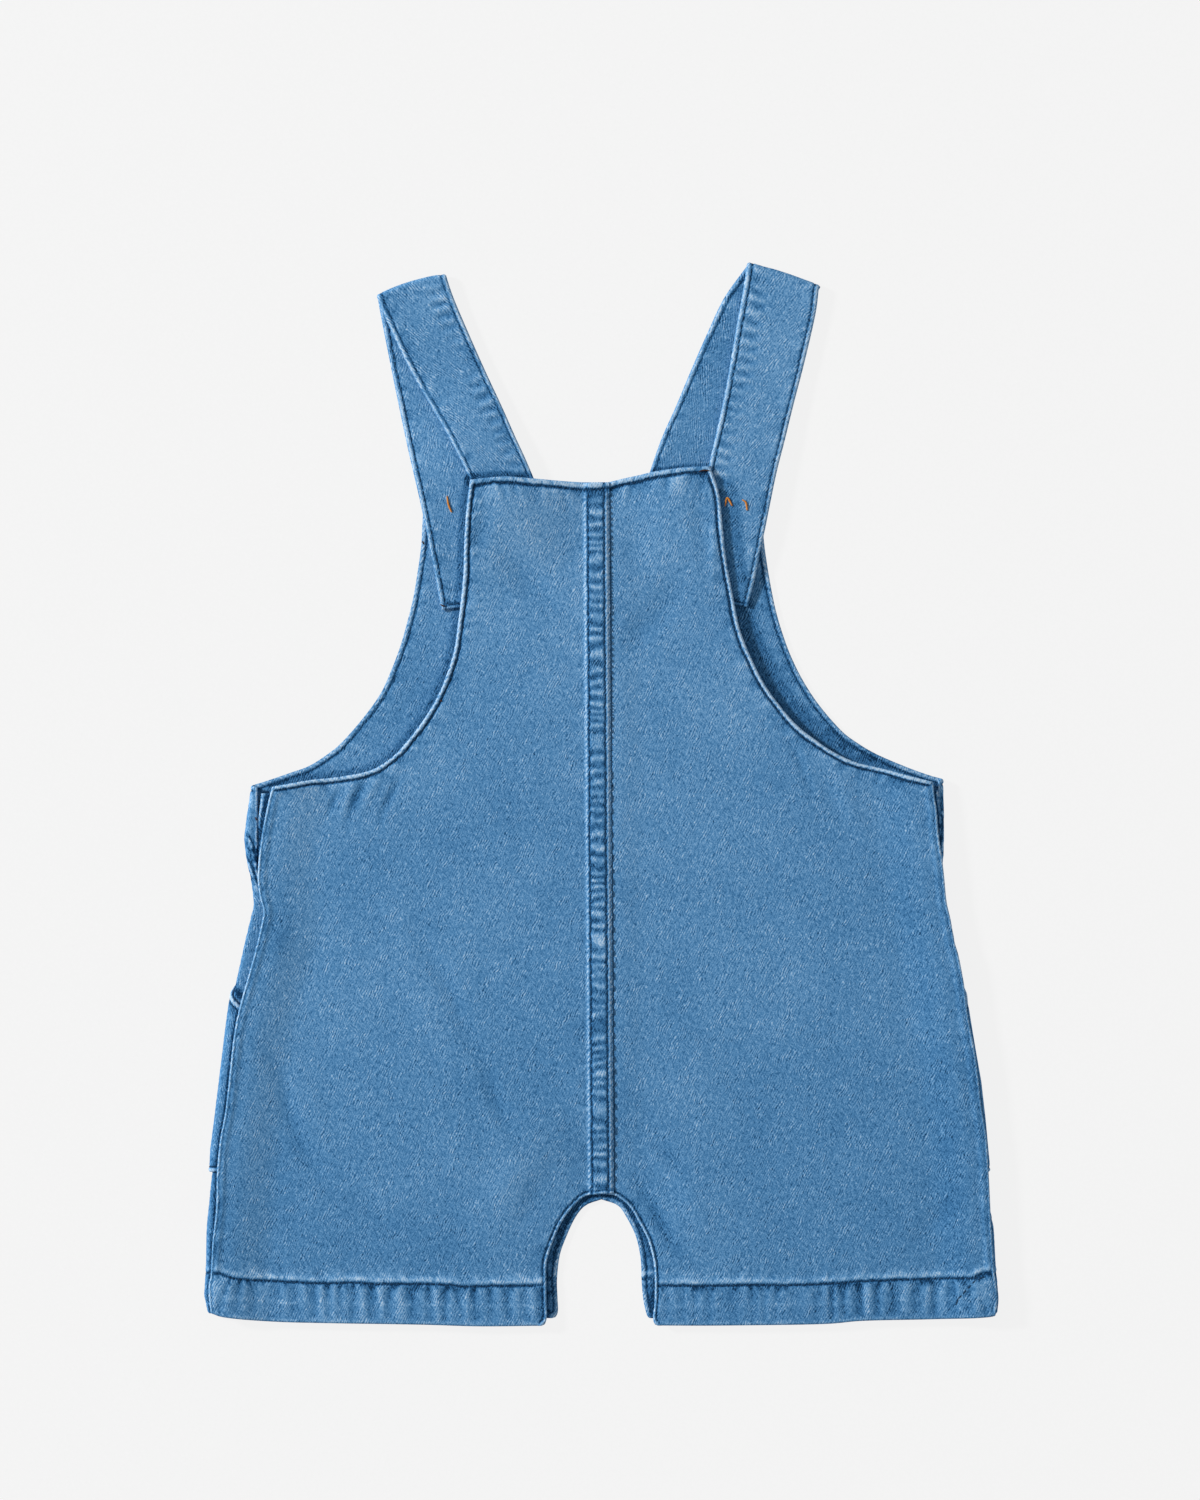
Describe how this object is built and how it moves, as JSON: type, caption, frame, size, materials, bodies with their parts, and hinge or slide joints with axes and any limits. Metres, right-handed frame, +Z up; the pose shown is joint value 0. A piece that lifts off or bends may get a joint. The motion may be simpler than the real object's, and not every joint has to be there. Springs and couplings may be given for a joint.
{
  "type": "child's dungarees",
  "caption": "Small child's denim dungaree shorts lying flat, back side up, with the straps folded over at the shoulders.",
  "frame": {"origin": "centre of the garment's outline, on the surface that it lies on", "axes": "+X across the garment, +Y from the leg hems towards the straps, +Z up from the surface, out of the back panels"},
  "size_m": [0.3346, 0.4476, 0.009],
  "materials": {
    "denim": "washed light-blue twill, matt",
    "denim_inside": "the twill's paler inner side, matt",
    "button": "satin"
  },
  "bodies": {
    "root": {"front_left": "denim", "front_right": "denim", "back_left": "denim", "back_right": "denim", "pocket_left": "denim", "pocket_right": "denim", "placket_left": "denim_inside", "placket_right": "denim_inside", "strap_left": "denim", "strap_right": "denim", "button_left": "button", "button_right": "button"}
  },
  "joints": []
}
